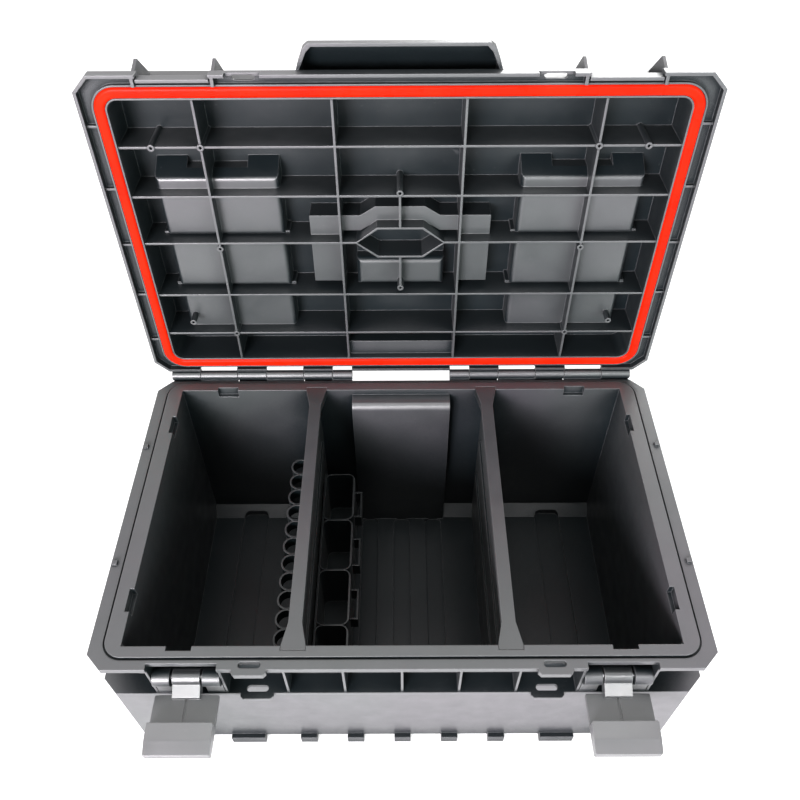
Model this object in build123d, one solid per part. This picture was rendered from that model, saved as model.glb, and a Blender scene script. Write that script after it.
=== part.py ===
from build123d import *
import os

# A hinged tool case, shown with its lid open and its two front latches swung out.
# Millimetres. x runs across the case, y from front to back, z up from the ground.
# The origin is on the ground, under the middle of the rim.

# Case
case_width = 585
case_depth = 358
base_height = 258
lid_height = 62
rim_chamfer = 15
wall = 3
rib = 2.2
lid_open_angle = 93.9
lid_overhang = 2.5
parting_gap = 0.4
clearance = 0.3
pin_clearance = 0.05

# Base tub
side_rim = 30.3
front_rim = 22.3
back_rim = 16.5
foot_height = 10
floor_thickness = 4.5
front_lean = 4
back_lean = 9
kick = 14
tub_corner = 5
bulge_width = 117
bulge_depth = 20
bulge_toe = 2
bulge_round = 8
channel_depth = 2.5
side_channel_width = 34
side_channel_x = 205
centre_channel_width = 22
centre_channel_pitch = 44
channel_margin = 24
channel_run = 7

# Rim flange, sealing land and lower shelf
flange = 6
land_height = 1.5
land_set = 11.5
land_back_set = 5
land_side_set = 14
land_groove_width = 2
land_groove_depth = 3
shelf_drop = 57
shelf_thickness = 4
front_rib_pitch = 55
side_rib_pitch = 60
rib_setback = 1.5
gusset_reach = 7
gusset_drop = 68
pillar_width = 55.5
pillar_depth = 45
hook_width = 23.4
hook_seat_reach = 4.5
hook_seat_depth = 11
spare_seat_x = 208
spare_seat_y = 110
nub = 5
nub_height = 2.4
nub_y = (-69, 79)

# Stacking feet
foot_width = 19
foot_pitch = 54.5
wide_foot_width = 39
wide_foot_x = 179.5
foot_length = 24
foot_reach = 5.5

# Padlock eyes
eye_set = 62.8
eye_width = 32
eye_reach = 5.5
eye_slot_length = 21
eye_slot_width = 6
eye_slot_set = 4.7
eye_notch = 5

# Rear hinge
hinge_set = 8
hinge_rise = 2.5
knuckle_radius = 6
hinge_pin_radius = 2
hinge_inset = 14.5
hinge_run = (35, 45, 35, 45, 35, 24)
knuckle_gap = 0.6
leaf_gap = 0.5

# Front latches
latch_inset = 89.2
latch_width = 61
latch_bay = 65.5
latch_set = 6
latch_drop = 30
latch_barrel_radius = 8
latch_barrel_width = 26
latch_ear_radius = 9
latch_ear_width = 16.5
latch_ear_gap = 2.4
latch_pin_radius = 2.5
latch_offset = 10
latch_plate = 4
latch_start = 14
latch_catch = 42.4
latch_length = 69.5
latch_lip_bend = 57.5
latch_lip_rise = 10.2
latch_lip_slope = 2.2
latch_tip_rise = 7
latch_edge = 1.5
latch_rest_width = 18
latch_seam = 2
latch_seam_depth = 0.8

# Lid
skirt = 3
lid_roof = 2.6
lid_flange = 10.6
gasket_width = 10.2
gasket_drop = 0.3
gasket_round = 3
gasket_side = 16.5
gasket_front = 17
gasket_back = 11.6
gasket_corner = 18
gasket_fit = 0.2
channel_wall = 1.6
channel_lip = 3.5
deck_drop = 14
deck = 3
lattice_lift = 5
ledge_set = 4
guard_reach = 5
guard_width = 3
guard_rise = 15
boss_radius = 3.4
boss_bore = 1.5
boss_lift = 1
boss_side_step = 47.3
boss_step = 6.2
boss_back_step = 17
spine_gap = 9.5
flange_rib_pitch = 65

# Lid lattice, as distances from the middle of the case
lattice_y = (-108, -55, 0, 67.4, 122.5)
lattice_x = (62.2, 190.4)
recess_front = 141.5
recess_lift = 12

# Front grip on the lid
grip_width = 186
grip_reach = 23
grip_taper = 7
grip_corner = 5
grip_edge = 7
grip_drop = 8

# Parts pockets in the lid
pocket_gap = 27.5
pocket_set = 29
relief_lift = 20
bay_edges = ((-67, -1.5), (5.5, 65), (73, 125))
bay_scoop = 13
bay_draft = 2
bay_round = 5
bay_tab_width = 61
bay_tab = 7
bridge_set = 5
bridge_reach = 4.5

# Covers of the parts pockets
cover_thickness = 2.4
cover_margin = 6
cover_corner = 6
cover_knuckle_radius = 3.6
cover_pin_radius = 1.5
cover_knuckle = 20
cover_post = 16
cover_hinge_gap = 8
cover_tab_width = 44
cover_tab_reach = 6
cover_rim = 2

# Carry handle on the lid
handle_span = 190
handle_seat = 18
handle_leg = 30.6
handle_front = -24
handle_back = 59
handle_step = 10.5
handle_step_x = 42
handle_top_x = 26
handle_thickness = 22
handle_play = 2.2
handle_pin_radius = 3
well_width = 95
well_step = 30
well_back = 64.3
well_relief = 15
well_round = 6
hex_width = 92.8
hex_flat = 47.4
hex_height = 34.8

# Dividers
divider_x = 101.5
divider_thickness = 4
divider_rail = 13.2
divider_rail_height = 9
divider_strip = 2.5
divider_strip_height = 6
divider_strip_drops = (72, 140)

# Screwdriver rack
ring_count = 11
ring_pitch = 21.7
ring_radius = 11.2
ring_bore = 9.3
ring_height = 15
ring_first_y = 94.5
ring_drop = 60
rack_plate = 3.2
rack_plate_height = 44

# Pouch rack
pouch_count = 4
pouch_pitch = 67.8
pouch_depth = 38
pouch_height = 78
pouch_wall = 2
pouch_corner = 9
pouch_first_y = 119
pouch_drop = 110
loop_drop = 18
loop_length = 37.5
loop_reach = 8.8
loop_height = 20

# Places worked out from the sizes above
half_width = case_width / 2
front = -case_depth / 2
back = case_depth / 2
rim_z = base_height
land_z = rim_z + land_height
shelf_z = rim_z - shelf_drop
floor_z = foot_height + floor_thickness
cavity_x = half_width - side_rim
cavity_front = front + front_rim
cavity_back = back - back_rim
tub_front = cavity_front - wall
mid_back = cavity_back - back_lean
low_back = mid_back - kick
kick_z = floor_z + kick
hinge_end = half_width - hinge_inset
hinge_y = back + hinge_set
hinge_z = rim_z + hinge_rise
latch_x = half_width - latch_inset
latch_y = front + latch_set
latch_z = rim_z - latch_drop
eye_x = latch_x - eye_set
lid_z = rim_z + parting_gap
lid_top = rim_z + lid_height
deck_top = lid_top - deck_drop
deck_under = deck_top - deck
lattice_z = rim_z + lattice_lift
relief_z = rim_z + relief_lift
flange_top = rim_z + lid_flange
roof_under = flange_top - lid_roof
gasket_x = half_width - gasket_side
gasket_y0 = front + gasket_front
gasket_y1 = back - gasket_back
gasket_z = land_z + gasket_drop
channel_half = gasket_width / 2 + gasket_fit
pan_inset = channel_half + channel_wall
pan_y0 = gasket_y0 + pan_inset
pan_y1 = gasket_y1 - pan_inset
pocket_inner = handle_span / 2 + pocket_gap
pocket_outer = gasket_x - pocket_set
pocket_x = (pocket_inner + pocket_outer) / 2
pocket_width = pocket_outer - pocket_inner
handle_z = relief_z + wall + clearance + handle_thickness / 2
handle_pivot_y = handle_back - wall - handle_play - handle_thickness / 2
rail_face = divider_x + divider_thickness / 2 + divider_strip


def block(x0, x1, y0, y1, z0, z1):
    centre = Pos((x0 + x1) / 2, (y0 + y1) / 2, (z0 + z1) / 2)
    return centre * Box(x1 - x0, y1 - y0, z1 - z0)


def profile(points, x0, x1):
    """A (y, z) outline pushed along x."""
    face = make_face(Polyline(*points, close=True))
    return extrude(Plane.YZ.offset(x0) * face, x1 - x0)


def rod(x0, x1, y, z, radius):
    return Pos((x0 + x1) / 2, y, z) * Rot(0, 90, 0) * Cylinder(radius, x1 - x0)


def slab(sketch, z0, z1):
    return extrude(Pos(0, 0, z0) * sketch, z1 - z0)


def on_both(shape):
    """A shape on the right and its mirror image on the left, as two pieces to add or cut."""
    return [shape, mirror(shape, Plane.YZ)]


def spread(pitch, reach):
    """Places about zero, a pitch apart, out to the reach."""
    steps = int(reach // pitch)
    return [pitch * step for step in range(-steps, steps + 1)]


def rim_outline(inset=0, overhang=0):
    outline = Rectangle(case_width + 2 * overhang - 2 * inset, case_depth - 2 * inset)
    return chamfer(outline.vertices(), rim_chamfer - inset * (2 - 2 ** 0.5))


def back_wall(z):
    """How far back the leaning wall's inner face lies at a height."""
    share = max(0, z - kick_z) / (rim_z - kick_z)
    return mid_back + back_lean * min(1, share)


def front_wall(z):
    """How far forward the leaning front wall's outer face lies at a height."""
    return tub_front + front_lean * (rim_z - z) / (rim_z - foot_height)


def tub_solid(offset, z0, heel):
    """The tub's block: leaning front and back, and a back foot that ends at the heel."""
    points = [
        (cavity_front + front_lean - offset, z0),
        (cavity_front - offset, rim_z),
        (cavity_back + offset, rim_z),
        (mid_back + offset, kick_z),
        (heel, z0),
    ]
    solid = profile(points, -cavity_x - offset, cavity_x + offset)
    front_edges = solid.edges().filter_by(Axis.X, reverse=True).group_by(Axis.Y)[0]
    return fillet(front_edges, tub_corner + offset)


def eye_tab(z0, z1):
    """A slotted lug on the front edge, for a padlock or a stacking clip."""
    tab_front = front - eye_reach
    tab = block(eye_x - eye_width / 2, eye_x + eye_width / 2, tab_front, front + rib_setback, z0, z1)
    tab = chamfer(tab.edges().filter_by(Axis.Z).group_by(Axis.Y)[0], eye_reach / 2)
    slot = SlotOverall(eye_slot_length, eye_slot_width)
    return tab, slab(Pos(eye_x, front + eye_slot_set) * slot, z0 - wall, z1 + wall)


def knuckle_spans():
    """Each knuckle's inner and outer end, from the case's corner inwards."""
    spans = []
    outer = hinge_end
    for length in hinge_run:
        spans.append((outer - length + knuckle_gap / 2, outer - knuckle_gap / 2))
        outer = outer - length
    return spans


def lid_knuckle(x0, x1):
    barrel = rod(x0, x1, hinge_y, hinge_z, knuckle_radius)
    return barrel + block(x0, x1, back - skirt, hinge_y, hinge_z + leaf_gap, hinge_z + knuckle_radius)


def hinge_ledge(x0, x1):
    """A shelf on the base that closes the gap under a lid knuckle."""
    top = hinge_z - knuckle_radius - knuckle_gap
    return block(x0, x1, back - skirt, hinge_y, top - shelf_thickness, top)


def base_knuckle(x0, x1):
    barrel = rod(x0, x1, hinge_y, hinge_z, knuckle_radius)
    leaf_top = rim_z - parting_gap
    return barrel + block(x0, x1, back - skirt, hinge_y, hinge_z - knuckle_radius, leaf_top)


def hinge_bore(radius):
    end = hinge_end - sum(hinge_run)
    return rod(end - wall, hinge_end + wall, hinge_y, hinge_z, radius)


def ear_spans():
    inner = latch_barrel_width / 2 + latch_ear_gap
    outer = inner + latch_ear_width
    return [(latch_x - outer, latch_x - inner), (latch_x + inner, latch_x + outer)]


def latch_ear(x0, x1):
    head = rod(x0, x1, latch_y, latch_z, latch_ear_radius)
    return head + block(x0, x1, latch_y - latch_ear_radius / 2, cavity_front, shelf_z, latch_z)


def pillar():
    """The hollow corner post at the front right, flush with the rim outline."""
    x0 = half_width - pillar_width
    y1 = front + pillar_depth
    zone = block(x0, half_width, front, y1, foot_height, shelf_z)
    hollow = block(x0 + wall, half_width, front, y1 - wall, foot_height, shelf_z - shelf_thickness)
    post = zone & slab(rim_outline(), foot_height, shelf_z)
    return post - (hollow & slab(rim_outline(wall), foot_height, shelf_z))


def feet():
    shapes = []
    places = [(x, foot_width) for x in spread(foot_pitch, 2 * foot_pitch)]
    places += [(side * wide_foot_x, wide_foot_width) for side in (-1, 1)]
    for x, width in places:
        x0 = x - width / 2
        x1 = x + width / 2
        toe = front_wall(foot_height) - foot_reach
        heel = mid_back + wall
        shapes.append(block(x0, x1, toe, toe + foot_length, 0, floor_z))
        shapes.append(block(x0, x1, heel - foot_length, heel, 0, floor_z))
    half = foot_width / 2
    shapes.append(block(-half, half, -foot_length / 2, foot_length / 2, 0, floor_z))
    return shapes


def front_ribs():
    rib_front = front + rib_setback
    shapes = []
    for x in spread(front_rib_pitch, 2 * front_rib_pitch):
        x0 = x - rib / 2
        x1 = x + rib / 2
        shapes.append(block(x0, x1, rib_front, cavity_front, shelf_z, rim_z))
        low_z = shelf_z - shelf_thickness
        points = [
            (cavity_front, low_z),
            (tub_front - gusset_reach, low_z),
            (front_wall(low_z - gusset_drop) + wall / 2, low_z - gusset_drop),
            (cavity_front, low_z - gusset_drop),
        ]
        shapes.append(profile(points, x0, x1))
    inner = latch_x - latch_bay / 2
    outer = latch_x + latch_bay / 2
    for x0 in (inner - rib, outer):
        shapes += on_both(block(x0, x0 + rib, rib_front, cavity_front, shelf_z, rim_z))
    tall = [
        (cavity_front, shelf_z),
        (rib_front, shelf_z),
        (front_wall(floor_z) + wall / 2, floor_z),
        (cavity_front, floor_z),
    ]
    shapes += on_both(profile(tall, inner - rib, inner))
    return shapes


def side_and_back_ribs():
    shapes = []
    for y in spread(side_rib_pitch, cavity_back):
        rib_end = half_width - rib_setback
        shapes += on_both(block(cavity_x, rib_end, y - rib / 2, y + rib / 2, shelf_z, rim_z))
    for x in spread(front_rib_pitch, 4 * front_rib_pitch):
        shapes.append(block(x - rib / 2, x + rib / 2, low_back, back - rib_setback, shelf_z, rim_z))
    return shapes


def land_outline(grow):
    x = half_width - land_side_set + grow
    y0 = front + land_set - grow
    y1 = back - land_back_set + grow
    return Pos(0, (y0 + y1) / 2) * RectangleRounded(2 * x, y1 - y0, gasket_corner + grow)


def land_groove():
    ring = land_outline(land_groove_width) - land_outline(0)
    return slab(ring, rim_z - land_groove_depth, rim_z)


def hook_seats(grow, z1):
    """Seats in the rim where the hooks of the dividers hang, or the boxes round them."""
    half = hook_width / 2 + clearance + grow
    reach = hook_seat_reach + grow
    z0 = land_z - hook_seat_depth - grow
    y_in = back_wall(z0)
    seats = []
    for x in (divider_x, spare_seat_x):
        seats += on_both(block(x - half, x + half, cavity_front - reach, cavity_front + wall, z0, z1))
        seats += on_both(block(x - half, x + half, y_in - clearance, cavity_back + reach, z0, z1))
    for y in (-spare_seat_y, spare_seat_y):
        seats += on_both(block(cavity_x - clearance, cavity_x + reach, y - half, y + half, z0, z1))
    return seats


def rim_nubs():
    """Small stops on the side rims."""
    x1 = half_width - rib_setback
    shapes = []
    for y in nub_y:
        shapes += on_both(block(x1 - nub, x1, y - nub / 2, y + nub / 2, rim_z, rim_z + nub_height))
    return shapes


def floor_channels():
    y0 = cavity_front + channel_margin
    middle = low_back - bulge_toe
    places = [(x, centre_channel_width, middle) for x in (-centre_channel_pitch, 0, centre_channel_pitch)]
    places += [(side * side_channel_x, side_channel_width, low_back + channel_run) for side in (-1, 1)]
    cuts = []
    for x, width, y1 in places:
        groove = Pos(x, (y0 + y1) / 2) * RectangleRounded(width, y1 - y0, channel_run)
        cuts.append(slab(groove, floor_z - channel_depth, floor_z + channel_run))
    return cuts


def bulge():
    """The boss on the back wall: the skin inside the tub, and the hollow behind it."""
    top = rim_z - flange - clearance
    x = bulge_width / 2
    toe = low_back - bulge_toe
    skin = profile(
        [
            (cavity_back - bulge_depth, top),
            (toe, floor_z),
            (toe, foot_height),
            (mid_back + wall, foot_height),
            (mid_back + wall, kick_z),
            (cavity_back + wall, top),
        ],
        -x,
        x,
    )
    crest = skin.edges().filter_by(Axis.X).group_by(Axis.Z)[-1].sort_by(Axis.Y)[0]
    skin = fillet(crest, bulge_round)
    hollow = profile(
        [
            (cavity_back - bulge_depth + wall, top - wall),
            (toe + wall, floor_z),
            (mid_back + wall, floor_z),
            (mid_back + wall, kick_z),
            (cavity_back + wall, top - wall),
        ],
        wall - x,
        x - wall,
    )
    return skin, hollow


def base_shell():
    shell = tub_solid(wall, foot_height, mid_back + wall)
    shell += slab(rim_outline(), rim_z - flange, rim_z)
    shell += slab(land_outline(0), rim_z - flange, land_z)
    shell += slab(rim_outline(), shelf_z - shelf_thickness, shelf_z)
    shell += front_ribs() + side_and_back_ribs() + feet() + rim_nubs() + hook_seats(wall, rim_z)
    post = pillar()
    back_post = mirror(post, Plane.XZ)
    shell += on_both(post) + on_both(back_post)
    bay = block(latch_x - latch_bay / 2, latch_x + latch_bay / 2, front, latch_y, shelf_z, land_z)
    shell -= on_both(bay)
    shell -= land_groove()
    ears = [latch_ear(*span) for span in ear_spans()]
    rest_top = latch_z - latch_offset - latch_plate - clearance
    rest_front = latch_y - latch_start
    half_rest = latch_rest_width / 2
    shelf_under = shelf_z - shelf_thickness
    rest_x = (latch_x - half_rest, latch_x + half_rest)
    ears.append(block(*rest_x, rest_front, front + wall, shelf_under, rest_top))
    for ear in ears:
        shell += on_both(ear)
    for z0, z1 in ((rim_z - flange, rim_z), (shelf_z - shelf_thickness, shelf_z)):
        tab, slot = eye_tab(z0, z1)
        shell += on_both(tab)
        shell -= on_both(slot)
    for span in knuckle_spans()[1::2]:
        shell += on_both(base_knuckle(*span))
    for span in knuckle_spans()[0::2]:
        shell += on_both(hinge_ledge(*span))
    shell -= tub_solid(0, floor_z, low_back)
    shell -= block(-cavity_x, cavity_x, cavity_front, cavity_back, rim_z, land_z)
    shell -= hook_seats(0, land_z) + floor_channels()
    skin, hollow = bulge()
    shell = shell + skin - hollow
    shell -= on_both(hinge_bore(hinge_pin_radius + pin_clearance))
    pin_end = latch_barrel_width / 2 + latch_ear_gap + latch_ear_width
    bore = rod(latch_x - pin_end, latch_x + pin_end, latch_y, latch_z, latch_pin_radius + pin_clearance)
    shell -= on_both(bore)
    return shell


def gasket_outline(grow):
    """A rounded outline that runs a given distance outside the gasket's middle line."""
    width = 2 * (gasket_x + grow)
    depth = gasket_y1 - gasket_y0 + 2 * grow
    middle = (gasket_y0 + gasket_y1) / 2
    return Pos(0, middle) * RectangleRounded(width, depth, gasket_corner + grow)


def lid_gasket():
    ring = gasket_outline(gasket_width / 2) - gasket_outline(-gasket_width / 2)
    seal = slab(ring, gasket_z, roof_under)
    return fillet(seal.edges().group_by(Axis.Z)[0], gasket_round)


def lid_flange_ring():
    """Outer skirt, roof and the two walls of the gasket's channel."""
    ring = slab(rim_outline(0, lid_overhang), lid_z, flange_top)
    ring -= slab(rim_outline(skirt, lid_overhang), lid_z, roof_under)
    outer = gasket_outline(channel_half + channel_wall) - gasket_outline(channel_half)
    inner = gasket_outline(-channel_half) - gasket_outline(-pan_inset)
    lip_z = rim_z + channel_lip
    return ring + slab(outer, lip_z, flange_top) + slab(inner, lip_z, flange_top)


def lid_pan():
    """The pan's wall and deck, which stand inside the flange and make a shallow tray on top."""
    shell = slab(gasket_outline(wall - pan_inset), roof_under, lid_top)
    return shell - slab(gasket_outline(-pan_inset), deck_top, lid_top)


def lattice():
    """Ribs that stiffen the deck, running from wall to wall of the pan."""
    x = gasket_x - channel_half
    y0 = gasket_y0 + channel_half
    y1 = gasket_y1 - channel_half
    half = rib / 2
    ribs = [block(-x, x, y - half, y + half, lattice_z, deck_under) for y in lattice_y]
    for place in lattice_x:
        ribs += on_both(block(place - half, place + half, y0, y1, lattice_z, deck_under))
    return ribs


def hexagon(grow):
    x = hex_width / 2 + grow
    flat = hex_flat / 2 + grow / 2
    y = hex_height / 2 + grow
    middle = lattice_y[2]
    points = [(-x, 0), (-flat, y), (flat, y), (x, 0), (flat, -y), (-flat, -y)]
    return Pos(0, middle) * make_face(Polyline(*points, close=True))


def boss_places():
    """Small round posts, on the lattice lines and between them."""
    line = lattice_x[1]
    corner = line + boss_side_step
    first, second, third, fourth, last = lattice_y
    side = [(line, first), (corner, first), (line, third + boss_step)]
    side += [(line, last), (corner, last - boss_back_step)]
    return side + [(-x, y) for x, y in side] + [(0, y) for y in spine_ends()]


def spine_ends():
    """Where the short rib in the middle of the lid starts and stops."""
    return lattice_y[1] - boss_radius, lattice_y[3] - spine_gap


def bay_solid(span, scoop, inset):
    """One parts bay, with a sloping front and rounded bottom edges."""
    y0, y1 = span
    z0 = relief_z + inset
    z1 = deck_top if inset else deck_under
    points = [(y0 - scoop + inset, z1), (y0 + inset, z0), (y1 - inset, z0), (y1 + bay_draft - inset, z1)]
    half = pocket_width / 2 - inset
    solid = profile(points, pocket_x - half, pocket_x + half)
    solid = fillet(solid.edges().group_by(Axis.Z)[0], bay_round - inset / 2)
    if scoop == bay_scoop:
        tab = bay_tab_width / 2 + inset
        tab_end = y0 - scoop + bay_tab + inset
        solid -= block(pocket_x - tab, pocket_x + tab, pan_y0, tab_end, relief_z, deck_top)
    return solid


def bays(inset):
    shapes = []
    for index, span in enumerate(bay_edges):
        shapes.append(bay_solid(span, bay_scoop if index == 0 else bay_draft, inset))
    return shapes


def bay_bridges():
    """Low bars that join each bay to the next."""
    half = pocket_width / 2 + bridge_reach
    z0 = relief_z + bridge_set
    bars = []
    for near, far in zip(bay_edges, bay_edges[1:]):
        y0 = near[1] - wall / 2
        y1 = far[0] + wall / 2
        bars.append(block(pocket_x - half, pocket_x + half, y0, y1, z0, deck_under))
    return bars


def rear_recess(inset, z_top):
    """The tray behind the finger well, next to the pan's back wall."""
    x = lattice_x[0] - inset
    z0 = rim_z + recess_lift + inset
    return block(-x, x, recess_front + inset, pan_y1 - inset, z0, z_top)


def handle_outline(inset):
    """The bail seen from above: a hat-shaped grip between two legs."""
    x = handle_span / 2 - inset
    y0 = handle_front + inset
    y1 = handle_front + handle_seat - inset
    leg = x - handle_leg + 2 * inset
    points = [(-x, y0), (-handle_step_x, y0), (-handle_top_x, y0 - handle_step)]
    points += [(-px, py) for px, py in reversed(points)]
    low = [(leg, y1), (handle_step_x, y1), (handle_top_x, y1 - handle_step)]
    low += [(-px, py) for px, py in reversed(low)]
    grip = make_face(Polyline(*points, (x, y1), *low, (-x, y1), close=True))
    leg_end = handle_back - inset
    legs = []
    for side in (-1, 1):
        centre = Pos(side * (x + leg) / 2, (y0 + leg_end) / 2)
        legs.append(centre * Rectangle(x - leg, leg_end - y0))
    return grip + legs


def finger_well(inset, z_top):
    x = well_width / 2 - inset
    z0 = relief_z + inset
    deep = block(-x, x, well_step + inset, well_back - inset, z0, z_top)
    deep = fillet(deep.edges().group_by(Axis.Z)[0], well_round - inset)
    shallow = block(-x, x, handle_front + inset, well_step + wall, z0 + well_relief, z_top)
    return deep + shallow


def grip_body(inset):
    """The front pull: a tapered shelf whose top slopes back up to the pan's wall."""
    tip = front - grip_reach + inset
    wall_y = pan_y0 - inset
    x = grip_width / 2 - inset
    corner_x = x - grip_taper
    half = [(x, wall_y), (x, front), (corner_x, tip + grip_corner), (corner_x - grip_corner, tip)]
    plan = make_face(Polyline(*half, *[(-px, py) for px, py in reversed(half)], close=True))
    points = [
        (wall_y, flange_top),
        (tip, flange_top),
        (tip, flange_top + grip_edge - inset),
        (wall_y, lid_top - grip_drop - inset),
    ]
    return slab(plan, flange_top, lid_top) & profile(points, -half_width, half_width)


def latch_guards():
    """Triangular cheeks on both sides of each latch."""
    guards = []
    channel_y = gasket_y0 - channel_half - channel_wall / 2
    half = latch_bay / 2 + guard_width
    for x in (latch_x - half, latch_x + half):
        points = [
            (pan_y0, roof_under),
            (channel_y, roof_under),
            (channel_y, lid_z),
            (front, lid_z),
            (front, flange_top),
            (front - guard_reach, flange_top + guard_rise),
            (pan_y0, lid_top - wall),
        ]
        guards += on_both(profile(points, x - guard_width / 2, x + guard_width / 2))
    return guards


def flange_ribs():
    """Cross ribs in the channel under the lid's side flanges."""
    x0 = gasket_x + channel_half
    ribs = []
    for y in spread(flange_rib_pitch, gasket_y1 - gasket_corner):
        y0 = y - rib / 2
        x1 = half_width + lid_overhang - skirt
        ribs += on_both(block(x0, x1, y0, y0 + rib, rim_z + channel_lip, roof_under))
    return ribs


def cover_hinge_y():
    return bay_edges[-1][1] + cover_hinge_gap + cover_margin


def cover_hinge_z():
    return deck_top + clearance + cover_knuckle_radius


def cover_posts():
    """Knuckles that stand on the deck behind each parts pocket."""
    outer = pocket_width / 2 - cover_knuckle - clearance
    posts = []
    y = cover_hinge_y()
    z = cover_hinge_z()
    for side in (-1, 1):
        x0, x1 = sorted((pocket_x + side * outer, pocket_x + side * (outer - cover_post)))
        post = rod(x0, x1, y, z, cover_knuckle_radius)
        posts.append(post + block(x0, x1, y, y + cover_knuckle_radius, deck_under, z))
    return posts


def lid_closed():
    shell = lid_flange_ring() + lid_pan()
    shell += latch_guards() + flange_ribs() + [grip_body(0)]
    shell -= grip_body(wall)
    tab, slot = eye_tab(lid_z, flange_top)
    eye_span = (eye_x - eye_width / 2, eye_x + eye_width / 2)
    shell -= on_both(block(*eye_span, front, front + skirt, lid_z, lid_z + eye_notch))
    half_bay = latch_bay / 2
    ledge_y = front + ledge_set
    bay_x = (latch_x - half_bay, latch_x + half_bay)
    shell += on_both(block(*bay_x, ledge_y, ledge_y + skirt, lid_z, flange_top))
    shell -= on_both(block(*bay_x, front, ledge_y, lid_z, flange_top))
    shell -= slab(gasket_outline(-pan_inset), lid_z, deck_under)
    shell += lattice()
    shell += slab(hexagon(rib / 2) - hexagon(-rib / 2), lattice_z, deck_under)
    shell -= slab(hexagon(-rib / 2), lattice_z, relief_z + well_relief)
    half = rib / 2
    spine_front, spine_back = spine_ends()
    shell += block(-half, half, spine_front, lattice_y[2] - hex_height / 2, lattice_z, deck_under)
    shell += block(-half, half, lattice_y[2] + hex_height / 2, spine_back, lattice_z, deck_under)
    posts = [Pos(x, y) * Circle(boss_radius) for x, y in boss_places()]
    shell += [slab(post, lattice_z - boss_lift, deck_under) for post in posts]
    for shape in bays(0) + bay_bridges():
        shell += on_both(shape)
    shell += rear_recess(0, deck_under)
    shell += slab(handle_outline(0), relief_z, deck_under) + finger_well(0, deck_under)
    for shape in bays(wall):
        shell -= on_both(shape)
    shell -= slab(handle_outline(wall), relief_z + wall, deck_top)
    shell -= [finger_well(wall, deck_top), rear_recess(wall, deck_top)]
    bores = [Pos(x, y) * Circle(boss_bore) for x, y in boss_places()]
    shell -= [slab(bore, lattice_z - boss_lift, relief_z) for bore in bores]
    for post in cover_posts():
        shell += on_both(post)
    for span in knuckle_spans()[0::2]:
        shell += on_both(lid_knuckle(*span))
    slot_y = gasket_y1 + pan_inset
    for span in knuckle_spans()[1::2]:
        shell -= on_both(block(*span, slot_y, back, lid_z, flange_top))
    shell -= on_both(slot) + on_both(hinge_bore(hinge_pin_radius + pin_clearance))
    shell -= on_both(cover_rod(cover_pin_radius + pin_clearance))
    shell -= on_both(handle_rod(handle_pin_radius + pin_clearance))
    return shell


def cover_rod(radius):
    half = pocket_width / 2
    return rod(pocket_x - half, pocket_x + half, cover_hinge_y(), cover_hinge_z(), radius)


def handle_rod(radius):
    outer = handle_span / 2
    return rod(outer - handle_leg, outer, handle_pivot_y, handle_z, radius)


def parts_cover():
    """A flat cover with a raised rim, hinge knuckles and a finger tab."""
    z0 = deck_top + clearance
    y0 = bay_edges[0][0] - bay_scoop - cover_margin
    y1 = cover_hinge_y() - cover_knuckle_radius - clearance
    width = pocket_width + 2 * cover_margin
    middle = Pos(pocket_x, (y0 + y1) / 2)
    plate = slab(middle * RectangleRounded(width, y1 - y0, cover_corner), z0, z0 + cover_thickness)
    border = RectangleRounded(width, y1 - y0, cover_corner)
    border -= RectangleRounded(width - 2 * wall, y1 - y0 - 2 * wall, cover_corner - wall)
    plate += slab(middle * border, z0, z0 + cover_thickness + cover_rim)
    half_tab = cover_tab_width / 2
    tab_x = (pocket_x - half_tab, pocket_x + half_tab)
    tab = block(*tab_x, y0 - cover_tab_reach, y0 + wall, z0, z0 + cover_thickness)
    plate += fillet(tab.edges().filter_by(Axis.Z).group_by(Axis.Y)[0], cover_tab_reach / 2)
    outer = pocket_width / 2
    for side in (-1, 1):
        x0, x1 = sorted((pocket_x + side * outer, pocket_x + side * (outer - cover_knuckle)))
        plate += rod(x0, x1, cover_hinge_y(), cover_hinge_z(), cover_knuckle_radius)
        plate += block(x0, x1, y1 - wall, cover_hinge_y(), z0, z0 + cover_thickness)
    return plate - cover_rod(cover_pin_radius + pin_clearance)


def carry_handle():
    """The bail that folds flat into its seat in the lid."""
    inset = wall + handle_play
    half = handle_thickness / 2
    bail = slab(handle_outline(inset), handle_z - half, handle_z + half)
    bail -= block(-half_width, half_width, handle_pivot_y, back, rim_z, lid_top)
    outer = handle_span / 2 - inset
    inner = handle_span / 2 - handle_leg + inset
    bail += on_both(rod(inner, outer, handle_pivot_y, handle_z, half))
    return bail - on_both(handle_rod(handle_pin_radius + pin_clearance))


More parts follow.
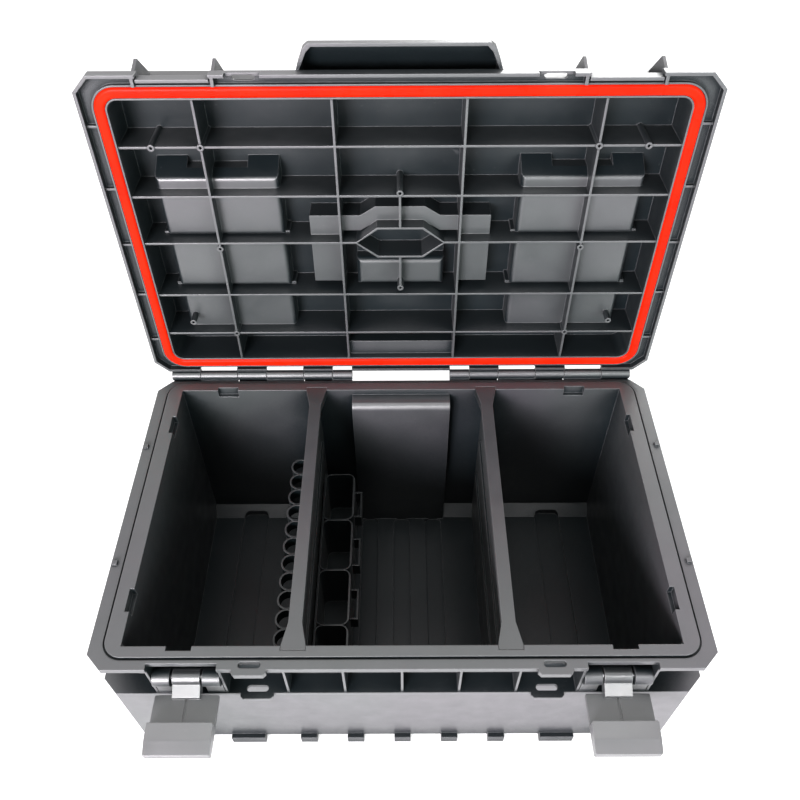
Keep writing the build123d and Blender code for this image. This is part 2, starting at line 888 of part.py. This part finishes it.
def latch():
    """The right-hand latch, swung out level: barrel, neck, plate and a thick hooked lip."""
    z_in = latch_z - latch_offset
    z_out = z_in - latch_plate
    start = latch_y - latch_start
    catch = latch_y - latch_catch
    bend = latch_y - latch_lip_bend
    tip = latch_y - latch_length
    points = [
        (start, z_out),
        (start, z_in),
        (catch, z_in),
        (catch, z_in + latch_lip_rise),
        (bend, z_in + latch_lip_rise - latch_lip_slope),
        (tip, z_in + latch_lip_rise - latch_tip_rise),
        (tip, z_out),
    ]
    half = latch_width / 2
    plate = profile(points, latch_x - half, latch_x + half)
    plate = fillet(plate.edges().filter_by(Axis.Z), latch_edge)
    barrel_half = latch_barrel_width / 2
    neck = [
        (latch_y, latch_z - latch_barrel_radius),
        (latch_y - latch_barrel_radius, latch_z),
        (start - latch_plate, z_in + latch_plate),
        (start - latch_plate, z_out),
        (start + latch_plate, z_out),
    ]
    plate += profile(neck, latch_x - barrel_half, latch_x + barrel_half)
    plate += rod(latch_x - barrel_half, latch_x + barrel_half, latch_y, latch_z, latch_barrel_radius)
    seam_x = (latch_x - latch_seam / 2, latch_x + latch_seam / 2)
    seam = block(*seam_x, catch, start, z_in - latch_seam_depth, z_in)
    bore = rod(latch_x - half, latch_x + half, latch_y, latch_z, latch_pin_radius + pin_clearance)
    return plate - seam - bore


def latch_pin():
    half = latch_barrel_width / 2 + latch_ear_gap + latch_ear_width
    return rod(latch_x - half, latch_x + half, latch_y, latch_z, latch_pin_radius)


def hinge_pin():
    end = hinge_end - sum(hinge_run)
    return rod(end + knuckle_gap, hinge_end - knuckle_gap, hinge_y, hinge_z, hinge_pin_radius)


def divider():
    """The right-hand cross wall: panel, top rail, flared hooks and rail strips for the racks."""
    half = divider_thickness / 2
    top = land_z - clearance
    y0 = cavity_front + clearance
    points = [
        (y0 + front_lean, floor_z),
        (y0, top),
        (cavity_back - clearance, top),
        (cavity_back - clearance, rim_z),
        (mid_back - clearance, kick_z),
        (low_back - clearance, floor_z),
    ]
    panel = profile(points, divider_x - half, divider_x + half)
    rail = divider_rail / 2
    rail_z = top - divider_rail_height
    rail_points = [
        (y0, rail_z),
        (y0, top),
        (cavity_back - clearance, top),
        (cavity_back - clearance, rim_z),
        (back_wall(rail_z) - clearance, rail_z),
    ]
    panel += profile(rail_points, divider_x - rail, divider_x + rail)
    hook = hook_width / 2
    hook_z = land_z - hook_seat_depth + clearance
    reach = hook_seat_reach - clearance
    flare = hook_width
    for end, way in ((cavity_front, -1), (cavity_back, 1)):
        y_out = end + way * reach
        outline = [
            (divider_x - hook, y_out),
            (divider_x + hook, y_out),
            (divider_x + hook, end - way * clearance),
            (divider_x + rail, end - way * flare),
            (divider_x - rail, end - way * flare),
            (divider_x - hook, end - way * clearance),
        ]
        panel += slab(make_face(Polyline(*outline, close=True)), hook_z, top)
    strip_back = low_back - clearance
    for drop in divider_strip_drops:
        z0 = rim_z - drop - divider_strip_height / 2
        strip = half + divider_strip
        z1 = z0 + divider_strip_height
        panel += block(divider_x - strip, divider_x + strip, y0 + front_lean, strip_back, z0, z1)
    return panel


def screwdriver_rack():
    """A row of rings on a back plate that rests on the divider's strips."""
    face = -rail_face - clearance
    ring_x = face - rack_plate - ring_radius
    ring_ys = [ring_first_y - ring_pitch * index for index in range(ring_count)]
    outline = [Pos(ring_x, y) * Circle(ring_radius) for y in ring_ys]
    y0 = ring_ys[-1] - ring_radius
    y1 = ring_ys[0] + ring_radius
    strip = Pos(face - rack_plate, (y0 + y1) / 2) * Rectangle(2 * rack_plate, y1 - y0)
    sketch = strip + outline
    sketch -= [Pos(ring_x, y) * Circle(ring_bore) for y in ring_ys]
    top = rim_z - ring_drop
    rack = slab(sketch, top - ring_height, top)
    return rack + block(face - rack_plate, face, y0, y1, top - rack_plate_height, top)


def pouch_rack():
    """A row of open pouches with a narrow loop on the outside of each."""
    face = -divider_x + divider_thickness / 2 + divider_strip + clearance
    top = rim_z - pouch_drop
    low = top - pouch_height
    rack = Part()
    for index in range(pouch_count):
        y = pouch_first_y - pouch_pitch * (index + 0.5)
        place = Pos(face + pouch_depth / 2, y)
        outer = RectangleRounded(pouch_depth, pouch_pitch, pouch_corner)
        inner_depth = pouch_depth - 2 * pouch_wall
        inner = RectangleRounded(inner_depth, pouch_pitch - pouch_wall, pouch_corner - pouch_wall)
        rack += slab(place * outer, low, top)
        rack -= slab(place * inner, low + pouch_wall, top)
        loop_x = face + pouch_depth + loop_reach / 2 - pouch_wall / 2
        loop = Rectangle(loop_reach + pouch_wall, loop_length)
        loop -= Rectangle(loop_reach - pouch_wall, loop_length - 2 * pouch_wall)
        loop_top = top - loop_drop
        rack += slab(Pos(loop_x, y) * loop, loop_top - loop_height, loop_top)
    return rack + block(face, face + pouch_wall, y - pouch_pitch / 2, pouch_first_y, low, top)


def opened(part):
    """Turns a piece from the closed lid to the open one, about the rear hinge."""
    return part.rotate(Axis((0, hinge_y, hinge_z), (1, 0, 0)), -lid_open_angle)


def left(part):
    return mirror(part, Plane.YZ)


def nodes():
    cover = opened(parts_cover())
    cover_pin = opened(cover_rod(cover_pin_radius))
    bail_pin = opened(handle_rod(handle_pin_radius))
    return {
        "base_shell": base_shell(),
        "lid_shell": opened(lid_closed()),
        "lid_gasket": opened(lid_gasket()),
        "hinge_pin_left": left(hinge_pin()),
        "hinge_pin_right": hinge_pin(),
        "latch_left": left(latch()),
        "latch_right": latch(),
        "latch_pin_left": left(latch_pin()),
        "latch_pin_right": latch_pin(),
        "divider_left": left(divider()),
        "divider_right": divider(),
        "screwdriver_rack": screwdriver_rack(),
        "pouch_rack": pouch_rack(),
        "carry_handle": opened(carry_handle()),
        "handle_pin_left": left(bail_pin),
        "handle_pin_right": bail_pin,
        "parts_cover_left": left(cover),
        "parts_cover_right": cover,
        "cover_pin_left": left(cover_pin),
        "cover_pin_right": cover_pin,
    }


os.makedirs("parts", exist_ok=True)
for name, solid in nodes().items():
    export_step(solid, "parts/" + name + ".step")
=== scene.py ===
import bpy
from math import cos, radians, sin
from mathutils import Matrix, Vector

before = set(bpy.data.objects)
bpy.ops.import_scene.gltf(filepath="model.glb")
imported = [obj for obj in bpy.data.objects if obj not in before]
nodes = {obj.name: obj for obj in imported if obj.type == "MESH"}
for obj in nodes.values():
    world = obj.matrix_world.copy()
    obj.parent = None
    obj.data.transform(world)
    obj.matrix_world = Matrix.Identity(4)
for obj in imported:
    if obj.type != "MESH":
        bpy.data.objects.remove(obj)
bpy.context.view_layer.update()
scene = bpy.context.scene
scene.view_settings.view_transform = "Standard"

# All lengths are metres in the row frame, apart from the camera's sensor in millimetres.
up = (0.0, 0.0, 1.0)

# Camera, fitted to the photograph
camera_place = Vector((0.00059, -0.4614, 0.95592))
camera_pitch = radians(48.893)
camera_yaw = radians(-0.169)
camera_roll = radians(0.388)
camera_clip = 0.01
focal_pixels = 778.95
image_pixels = 800
sensor = 36.0

# Lamps, all aimed at the middle of the case: place, width, height, watts and colour.
# The highlight lamp lights no matt surface.
plain = (1, 1, 1)
lamp_target = (0, 0, 0.3)
lamps = {
    "key": ((-1.3, -2.8, 1.35), 1.4, 1.0, 200, (1.0, 0.95, 1.0)),
    "fill": ((2.0, -2.2, 1.0), 1.6, 1.2, 40, (0.84, 1.0, 0.98)),
    "top": ((0, 0.05, 2.7), 2.6, 0.9, 18, plain),
    "back": ((0.9, 2.7, 1.7), 1.6, 1.2, 45, plain),
    "strip": ((0, -2.0, 2.3), 3.4, 0.4, 55, plain),
}
highlight_lamp = "strip"

# World and floor: what lights the case, and what is seen by the camera, through the covers and
# in reflections. Near the case the floor has a painted glow that only reflections see; it fades
# out between the two distances of the pool.
world_ambient = 0.18
world_seen = 1.0
floor_size = 14.0
floor_paint = (0.75, 0.75, 0.75)
floor_seen = 0.75
floor_mirrored = 0.55
mirror_pool = (0.8, 1.6)

# The lid as it stands open: its outward direction, and how far out its relief faces and its deck
# lie. Painted light on the relief grows with height, and painted shade dims part of the deck.
lid_angle = radians(93.9)
lid_out = (0.0, sin(lid_angle), cos(lid_angle))
relief_depth = 0.18636
deck_depth = 0.21136
facing_band = (-0.8, -0.97)
relief_fade = (0.004, 0.007)
relief_heights = (0.36, 0.53)
relief_painted_light = (0.5, 0.95)
deck_fade = (relief_depth + 0.01, deck_depth - 0.005)
deck_painted_shade = 0.35

# A band is the part of a value that counts, and a range is what it is spread over.
unit = (0.0, 1.0)
middle = (0.3, 0.7)
edge_band = (0.995, 0.86)
edge_samples = 6
open_samples = 6
polymer_ior = 1.5

# Moulded plastic. A noise is its scale per metre, then detail, roughness and distortion.
# Openness is taken over a wide and a near reach; where it is low, it paints shade into hollows.
wear_noise = (140.0, 4.0, 0.65)
wear_range = (0.35, 1.0)
tint_noise = (3.2, 2.0)
tint_band = (0.38, 0.62)
wide_reach = 0.3
wide_band = (0.22, 0.64)
near_reach = 0.05
near_band = (0.68, 0.88)
near_range = (0.08, 1.0)
haze_noise = (26.0, 5.0, 0.62)
haze_range = (0.82, 1.0)
line_scale = (90.0, 900.0, 160.0)
line_turn = (0.3, 0.5, 0.4)
line_noise = (1.0, 2.0, 0.55, 0.4)
line_band = (0.64, 0.74)
patch_noise = (22.0, 2.0)
patch_band = (0.55, 0.75)
speck_noise = (420.0, 1.0)
speck_band = (0.76, 0.8)
shine_noise = (45.0, 4.0)
shine_swing = 0.06
grain_detail = (2.0, 0.6)
grain_strength = 0.35
coat_rough = 0.22
sheen_rough = 0.4
# Shine sockets that drop in painted shade, each with its look key.
sockets_in_painted_shade = (
    ("Specular_IOR_Level", "gloss"), ("Coat_Weight", "coat"), ("Sheen_Weight", "sheen"),
)

# Plastics: a painted shade colour for hollows, colours in the open, and a pale colour for scuffs
# and edges, where it is wear and painted highlight; then finish, wear and shine. The last value
# is the share of the shine that is left in painted shade.
case_look = {
    "deep": (0.006, 0.01, 0.012), "cool": (0.072, 0.079, 0.079), "warm": (0.081, 0.075, 0.085),
    "edge": (0.14, 0.143, 0.148), "rough": 0.42, "grain": 1500.0, "grain_depth": 0.0002,
    "edge_radius": 0.0012, "scuff": 0.25, "coat": 0.4, "sheen": 0.12, "gloss": 1.0, "shine_in_painted_shade": 0.25,
}
insert_look = {
    "deep": (0.005, 0.009, 0.01), "cool": (0.05, 0.056, 0.056), "warm": (0.057, 0.053, 0.06),
    "edge": (0.16, 0.163, 0.167), "rough": 0.38, "grain": 1700.0, "grain_depth": 0.0002,
    "edge_radius": 0.001, "scuff": 0.2, "coat": 0.5, "sheen": 0.1, "gloss": 1.0, "shine_in_painted_shade": 0.25,
}
latch_look = {
    "deep": (0.04, 0.044, 0.045), "cool": (0.06, 0.066, 0.066), "warm": (0.068, 0.064, 0.071),
    "edge": (0.25, 0.25, 0.255), "rough": 0.34, "grain": 1900.0, "grain_depth": 0.00012,
    "edge_radius": 0.0012, "scuff": 0.1, "coat": 0.8, "sheen": 0.1, "gloss": 1.0, "shine_in_painted_shade": 0.8,
}
handle_look = {
    "deep": (0.01, 0.012, 0.013), "cool": (0.05, 0.055, 0.055), "warm": (0.057, 0.054, 0.06),
    "edge": (0.12, 0.12, 0.122), "rough": 0.46, "grain": 1100.0, "grain_depth": 0.0003,
    "edge_radius": 0.0025, "scuff": 0.3, "coat": 0.2, "sheen": 0.1, "gloss": 0.6, "shine_in_painted_shade": 0.4,
}

# Rubber seal
seal_dark = (0.78, 0.012, 0.002)
seal_light = (0.86, 0.018, 0.003)
seal_cloud = (30.0, 3.0)
seal_specks = (700.0, 3.0, 0.7)
seal_speck_strength = 0.2
seal_speck_depth = 0.0003
seal_round = 0.0025
seal_shine = (60.0, 3.0)
seal_rough = (0.24, 0.36)
seal_gloss = 0.07

# Steel pins
pin_dark = (0.36, 0.36, 0.37)
pin_light = (0.58, 0.58, 0.6)
pin_scale = (40.0, 2600.0, 2600.0)
pin_noise = (1.0, 3.0)
pin_rough = (0.24, 0.38)
pin_strength = 0.25
pin_depth = 0.0001

# Smoke-tinted covers
smoke_dark = (0.1, 0.105, 0.11)
smoke_light = (0.14, 0.145, 0.15)
smoke_cloud = 12.0
smoke_marks = (80.0, 5.0, 0.65)
smoke_band = (0.35, 0.75)
smoke_rough = (0.1, 0.26)
smoke_strength = 0.1
smoke_depth = 0.00003
smoke_ior = 1.58
smoke_alpha = 0.72


def add_camera():
    flat = cos(camera_pitch)
    ahead = Vector((sin(camera_yaw) * flat, cos(camera_yaw) * flat, -sin(camera_pitch)))
    level = Vector((cos(camera_yaw), -sin(camera_yaw), 0))
    down = ahead.cross(level)
    right = level * cos(camera_roll) + down * sin(camera_roll)
    below = down * cos(camera_roll) - level * sin(camera_roll)
    data = bpy.data.cameras.new("photo_camera")
    data.sensor_width = sensor
    data.lens = focal_pixels / image_pixels * sensor
    data.clip_start = camera_clip
    camera = bpy.data.objects.new("photo_camera", data)
    turn = Matrix((right, -below, -ahead)).transposed()
    camera.matrix_world = Matrix.Translation(camera_place) @ turn.to_4x4()
    scene.collection.objects.link(camera)
    scene.camera = camera


class Tree:
    """Adds shader nodes and links them by socket name, or by number as _0, _1 and so on."""

    def __init__(self, holder):
        holder.use_nodes = True
        self.tree = holder.node_tree
        self.tree.nodes.clear()

    def add(self, kind, **inputs):
        node = self.tree.nodes.new("ShaderNode" + kind)
        for name, value in inputs.items():
            self.set(node, name, value)
        return node

    def set(self, node, name, value):
        by_number = name[0] == "_"
        socket = node.inputs[int(name[1:])] if by_number else node.inputs[name.replace("_", " ")]
        if isinstance(value, bpy.types.NodeSocket):
            self.tree.links.new(value, socket)
        else:
            socket.default_value = value

    def math(self, operation, a, b=0.0, clamp=False):
        node = self.add("Math", _0=a, _1=b)
        node.operation = operation
        node.use_clamp = clamp
        return node.outputs[0]

    def dot(self, a, b):
        node = self.add("VectorMath", _0=a, _1=b)
        node.operation = "DOT_PRODUCT"
        return node.outputs["Value"]

    def noise(self, place, scale, detail=3.0, rough=0.5, distortion=0.0):
        node = self.add("TexNoise", Vector=place, Scale=scale, Detail=detail)
        self.set(node, "Roughness", rough)
        self.set(node, "Distortion", distortion)
        return node.outputs[0]

    def spread(self, value, low, high, to_low, to_high):
        node = self.add("MapRange", _0=value, _1=low, _2=high, _3=to_low, _4=to_high)
        return node.outputs[0]

    def mix(self, share, a, b):
        """Mixes two colours. They are sockets 6 and 7 of the node, and the result is output 2."""
        node = self.tree.nodes.new("ShaderNodeMix")
        node.data_type = "RGBA"
        self.set(node, "_0", share)
        self.set(node, "_6", a)
        self.set(node, "_7", b)
        return node.outputs[2]

    def place(self):
        return self.add("TexCoord").outputs["Object"]

    def end(self, surface, kind="OutputMaterial"):
        out = self.tree.nodes.new("ShaderNode" + kind)
        self.tree.links.new(surface, out.inputs["Surface"])


def rgb(r, g, b):
    return (r, g, b, 1.0)


def soft_edge(t, radius):
    """A normal that rounds the edges, and how far it has turned from the flat face."""
    rounded = t.add("Bevel", Radius=radius)
    rounded.samples = edge_samples
    flat = t.add("NewGeometry").outputs["True Normal"]
    turned = t.spread(t.dot(rounded.outputs[0], flat), *edge_band, *unit)
    return rounded.outputs[0], turned


def openness(t, reach):
    """How much of the space within reach of a point is free."""
    node = t.add("AmbientOcclusion", Distance=reach)
    node.samples = open_samples
    return node.outputs["AO"]


def lid_painted_light_and_shade(t, place, share):
    """On the lid's inner side: painted light on the relief faces, painted shade on the deck
    behind.
    """
    facing = t.spread(t.dot(t.add("TexCoord").outputs["Normal"], lid_out), *facing_band, *unit)
    depth = t.dot(place, lid_out)
    off = t.math("ABSOLUTE", t.math("SUBTRACT", depth, relief_depth))
    # Painted light on the relief faces, growing with height.
    haze_and_painted_light = t.spread(t.dot(place, up), *relief_heights, *relief_painted_light)
    on_relief = t.math("MULTIPLY", facing, t.spread(off, *relief_fade, 1.0, 0.0))
    on_relief = t.math("MULTIPLY", on_relief, haze_and_painted_light)
    # Painted shade on the deck behind the relief.
    behind = t.math("MULTIPLY", facing, t.spread(depth, *deck_fade, 0.0, deck_painted_shade))
    kept = t.math("SUBTRACT", 1.0, behind)
    return t.math("MAXIMUM", t.math("MULTIPLY", share, kept), on_relief)


def worn_marks(t, place, scuff):
    """Fine scuff lines in patches, with scattered specks."""
    stretch = t.add("Mapping", Vector=place, Scale=line_scale, Rotation=line_turn)
    lines = t.spread(t.noise(stretch.outputs[0], *line_noise), *line_band, *unit)
    patches = t.spread(t.noise(place, *patch_noise), *patch_band, 0.0, scuff)
    specks = t.spread(t.noise(place, *speck_noise), *speck_band, 0.0, scuff)
    return t.math("MAXIMUM", t.math("MULTIPLY", lines, patches, True), specks)


def moulded(name, look, lid=False):
    """Moulded plastic: painted shade in hollows; pale edges are wear and a painted highlight."""
    material = bpy.data.materials.new(name)
    t = Tree(material)
    place = t.place()
    normal, turned = soft_edge(t, look["edge_radius"])
    wear = t.spread(t.noise(place, *wear_noise), *middle, *wear_range)
    # Pale edges: random wear, with a painted highlight where the rounded normal turns from the
    # face.
    edge_share = t.math("MULTIPLY", turned, wear, True)
    tint = t.spread(t.noise(place, *tint_noise), *tint_band, *unit)
    # Painted shade: where little space is free, the colour goes to the dark hollow colour.
    wide = t.spread(openness(t, wide_reach), *wide_band, *unit)
    near = t.spread(openness(t, near_reach), *near_band, *near_range)
    painted_light_share = t.math("MULTIPLY", wide, near)
    # On the lid, painted light and shade are added by position, for the lid as it stands open.
    if lid:
        painted_light_share = lid_painted_light_and_shade(t, place, painted_light_share)
    haze_and_painted_light = t.spread(t.noise(place, *haze_noise), *middle, *haze_range)
    bright = t.mix(tint, rgb(*look["cool"]), rgb(*look["warm"]))
    colour = t.mix(t.math("MULTIPLY", painted_light_share, haze_and_painted_light), rgb(*look["deep"]), bright)
    marks = worn_marks(t, place, look["scuff"])
    colour = t.mix(t.math("MAXIMUM", edge_share, marks), colour, rgb(*look["edge"]))
    shine_range = (look["rough"] - shine_swing, look["rough"] + shine_swing)
    shine = t.spread(t.noise(place, *shine_noise), *middle, *shine_range)
    grain = t.noise(place, look["grain"], *grain_detail)
    bump = t.add("Bump", Strength=grain_strength, Distance=look["grain_depth"], Height=grain)
    t.set(bump, "Normal", normal)
    shader = t.add("BsdfPrincipled", Base_Color=colour, Roughness=shine, IOR=polymer_ior)
    t.set(shader, "Normal", bump.outputs[0])
    # Painted shade on the shine: specular, coat and sheen drop where little space is free.
    for socket, key in sockets_in_painted_shade:
        full = look[key]
        t.set(shader, socket, t.spread(painted_light_share, *unit, look["shine_in_painted_shade"] * full, full))
    t.set(shader, "Coat_Roughness", coat_rough)
    t.set(shader, "Sheen_Roughness", sheen_rough)
    t.end(shader.outputs[0])
    return material


def rubber(name):
    """Smooth extruded seal with a soft crown."""
    material = bpy.data.materials.new(name)
    t = Tree(material)
    place = t.place()
    cloud = t.spread(t.noise(place, *seal_cloud), *middle, *unit)
    colour = t.mix(cloud, rgb(*seal_dark), rgb(*seal_light))
    rough = t.spread(t.noise(place, *seal_shine), *middle, *seal_rough)
    specks = t.noise(place, *seal_specks)
    bump = t.add("Bump", Strength=seal_speck_strength, Distance=seal_speck_depth, Height=specks)
    t.set(bump, "Normal", soft_edge(t, seal_round)[0])
    shader = t.add("BsdfPrincipled", Base_Color=colour, Roughness=rough, IOR=polymer_ior)
    t.set(shader, "Normal", bump.outputs[0])
    t.set(shader, "Specular_IOR_Level", seal_gloss)
    t.end(shader.outputs[0])
    return material


def steel(name):
    """Drawn rod: fine lines along it and a dull shine."""
    material = bpy.data.materials.new(name)
    t = Tree(material)
    lines = t.add("Mapping", Vector=t.place(), Scale=pin_scale)
    drawn = t.noise(lines.outputs[0], *pin_noise)
    colour = t.mix(drawn, rgb(*pin_dark), rgb(*pin_light))
    rough = t.spread(drawn, *middle, *pin_rough)
    bump = t.add("Bump", Strength=pin_strength, Distance=pin_depth, Height=drawn)
    shader = t.add("BsdfPrincipled", Base_Color=colour, Metallic=1.0, Roughness=rough)
    t.set(shader, "Normal", bump.outputs[0])
    t.end(shader.outputs[0])
    return material


def smoke(name):
    """Tinted clear plastic with handling marks."""
    material = bpy.data.materials.new(name)
    t = Tree(material)
    place = t.place()
    marks = t.noise(place, *smoke_marks)
    rough = t.spread(marks, *smoke_band, *smoke_rough)
    cloud = t.spread(t.noise(place, smoke_cloud), *middle, *unit)
    colour = t.mix(cloud, rgb(*smoke_dark), rgb(*smoke_light))
    bump = t.add("Bump", Strength=smoke_strength, Distance=smoke_depth, Height=marks)
    shader = t.add("BsdfPrincipled", Base_Color=colour, Roughness=rough, IOR=smoke_ior)
    t.set(shader, "Alpha", smoke_alpha)
    t.set(shader, "Normal", bump.outputs[0])
    t.end(shader.outputs[0])
    return material


def dress():
    case = moulded("case_black", case_look)
    lid = moulded("lid_black", case_look, lid=True)
    insert = moulded("insert_black", insert_look)
    latch = moulded("latch_black", latch_look)
    handle = moulded("handle_black", handle_look)
    seal = rubber("seal_red")
    pin = steel("pin_steel")
    cover = smoke("cover_smoke")
    looks = {
        "base_shell": case, "lid_shell": lid, "lid_gasket": seal,
        "latch_left": latch, "latch_right": latch, "carry_handle": handle,
    }
    for name, node in nodes.items():
        look = looks.get(name, insert)
        if "_pin_" in name:
            look = pin
        if name.startswith("parts_cover"):
            look = cover
        node.data.materials.clear()
        node.data.materials.append(look)


def area_lamp(name, place, width, height, watts, colour):
    data = bpy.data.lights.new(name, "AREA")
    data.shape = "RECTANGLE"
    data.size = width
    data.size_y = height
    data.energy = watts
    data.color = colour
    lamp = bpy.data.objects.new(name, data)
    lamp.location = place
    aim = Vector(lamp_target) - Vector(place)
    lamp.rotation_euler = aim.to_track_quat("-Z", "Y").to_euler()
    lamp.visible_diffuse = name != highlight_lamp
    scene.collection.objects.link(lamp)


def add_lights():
    for name, settings in lamps.items():
        area_lamp(name, *settings)
    world = bpy.data.worlds.new("studio")
    scene.world = world
    t = Tree(world)
    path = t.add("LightPath")
    seen = t.math("MAXIMUM", path.outputs["Is Camera Ray"], path.outputs["Is Glossy Ray"])
    seen = t.math("MAXIMUM", seen, path.outputs["Is Transmission Ray"])
    level = t.spread(seen, *unit, world_ambient, world_seen)
    glow = t.add("Background", Color=rgb(*plain), Strength=level)
    t.end(glow.outputs[0], "OutputWorld")


def add_floor():
    mesh = bpy.data.meshes.new("floor")
    half = floor_size / 2
    corners = [(-half, -half, 0), (half, -half, 0), (half, half, 0), (-half, half, 0)]
    mesh.from_pydata(corners, [], [(0, 1, 2, 3)])
    floor = bpy.data.objects.new("floor", mesh)
    scene.collection.objects.link(floor)
    material = bpy.data.materials.new("floor_white")
    t = Tree(material)
    path = t.add("LightPath")
    far = t.add("VectorMath", _0=t.place())
    far.operation = "LENGTH"
    # Painted glow on the floor, seen only in reflections and fading out away from the case.
    pool = t.spread(far.outputs["Value"], *mirror_pool, floor_mirrored, 0.0)
    mirrored = t.math("MULTIPLY", path.outputs["Is Glossy Ray"], pool)
    seen = t.math("MAXIMUM", path.outputs["Is Camera Ray"], path.outputs["Is Transmission Ray"])
    lift = t.math("MAXIMUM", t.math("MULTIPLY", seen, floor_seen), mirrored)
    paint = t.add("BsdfDiffuse", Color=rgb(*floor_paint))
    glow = t.add("Emission", Color=rgb(*plain), Strength=lift)
    both = t.add("AddShader", _0=paint.outputs[0], _1=glow.outputs[0])
    t.end(both.outputs[0])
    mesh.materials.append(material)


add_camera()
add_lights()
add_floor()
dress()
